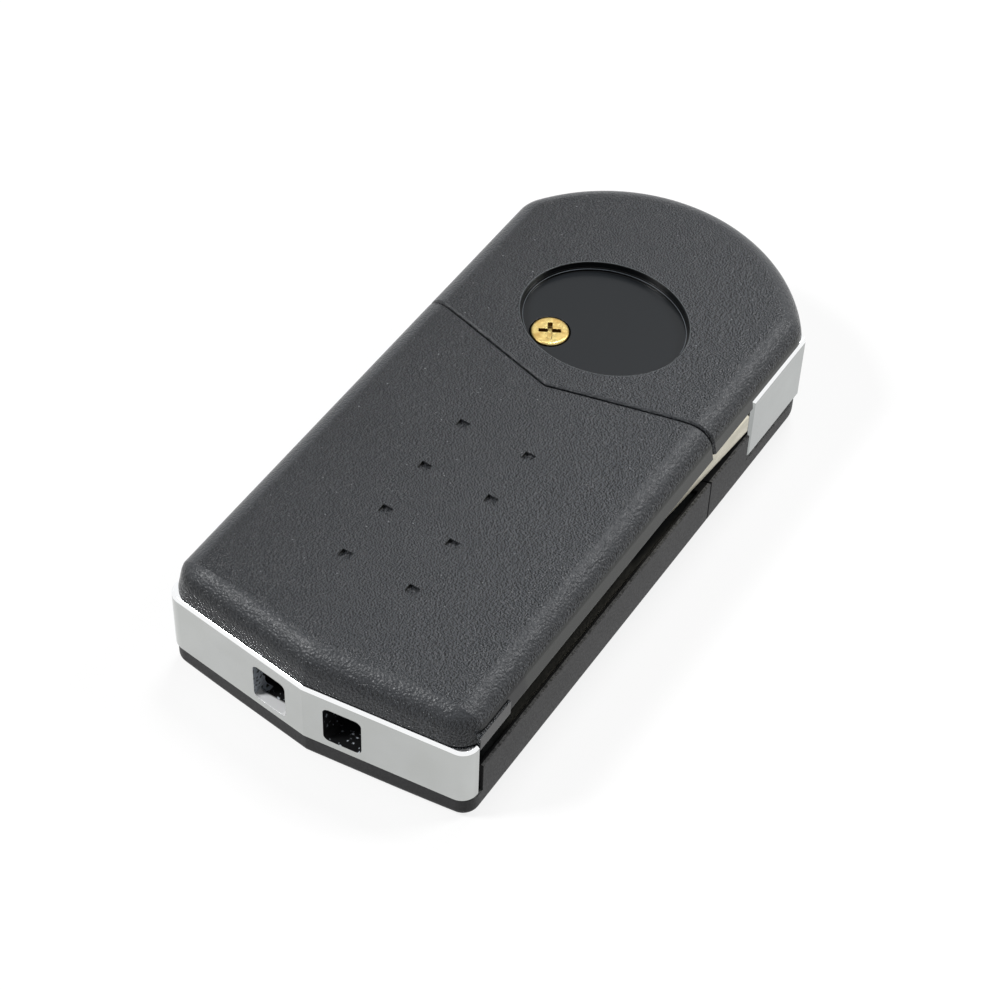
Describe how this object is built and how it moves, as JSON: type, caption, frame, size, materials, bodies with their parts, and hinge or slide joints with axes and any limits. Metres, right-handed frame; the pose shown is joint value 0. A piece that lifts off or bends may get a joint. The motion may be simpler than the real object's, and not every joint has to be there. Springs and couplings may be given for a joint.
{
  "type": "flip key remote shell",
  "caption": "Car remote shell with a fold-out key blade in its side slot, remote buttons on the front, a keyring end cap and an oval emblem recess.",
  "frame": {"origin": "middle of the footprint, on the front face that the shell lies on", "axes": "+Z out of the rear face, +Y from the keyring end to the round head, +X to the side with the blade slot"},
  "size_m": [0.036, 0.0776, 0.0152],
  "materials": {
    "cover_plastic": "fine moulded grain",
    "housing_plastic": "satin",
    "tray_plastic": "smooth",
    "plated_zinc": "satin plating",
    "blade_steel": "nickel plated",
    "spring_steel": "drawn wire",
    "brass": "plain",
    "button_plastic": "satin",
    "pad_rubber": "matte"
  },
  "bodies": {
    "case": {"rear_cover": "cover_plastic", "head_rear_cover": "cover_plastic", "front_housing": "housing_plastic", "head_front_cover": "housing_plastic", "inner_tray": "tray_plastic", "keyring_end_cap": "plated_zinc", "head_screw": "brass", "button_pad": "pad_rubber"},
    "blade": {"blade_hub": "plated_zinc", "key_blade": "blade_steel", "blade_roll_pin": "spring_steel", "hub_collar": "plated_zinc", "flip_spring": "spring_steel"},
    "release": {"release_button": "plated_zinc"},
    "lock": {"lock_button": "button_plastic"},
    "unlock": {"unlock_button": "button_plastic"},
    "boot": {"boot_button": "button_plastic"}
  },
  "joints": [
    {"name": "blade_flip", "type": "hinge", "parent": "case", "child": "blade", "pos_m": [0.0085, 0.02349, 0.0069], "axis": [0, 0, 1], "range_deg": [0, 180]},
    {"name": "release_press", "type": "slide", "parent": "case", "child": "release", "axis": [0, 0, 1], "range_m": [0, 0.0015], "stiffness_N_per_m": 3000, "springref_m": -0.001, "deforming": ["flip_spring"]},
    {"name": "lock_press", "type": "slide", "parent": "case", "child": "lock", "axis": [0, 0, 1], "range_m": [0, 0.0006], "stiffness_N_per_m": 1200, "springref_m": -0.0005},
    {"name": "unlock_press", "type": "slide", "parent": "case", "child": "unlock", "axis": [0, 0, 1], "range_m": [0, 0.0006], "stiffness_N_per_m": 1200, "springref_m": -0.0005},
    {"name": "boot_press", "type": "slide", "parent": "case", "child": "boot", "axis": [0, 0, 1], "range_m": [0, 0.0006], "stiffness_N_per_m": 1200, "springref_m": -0.0005}
  ]
}
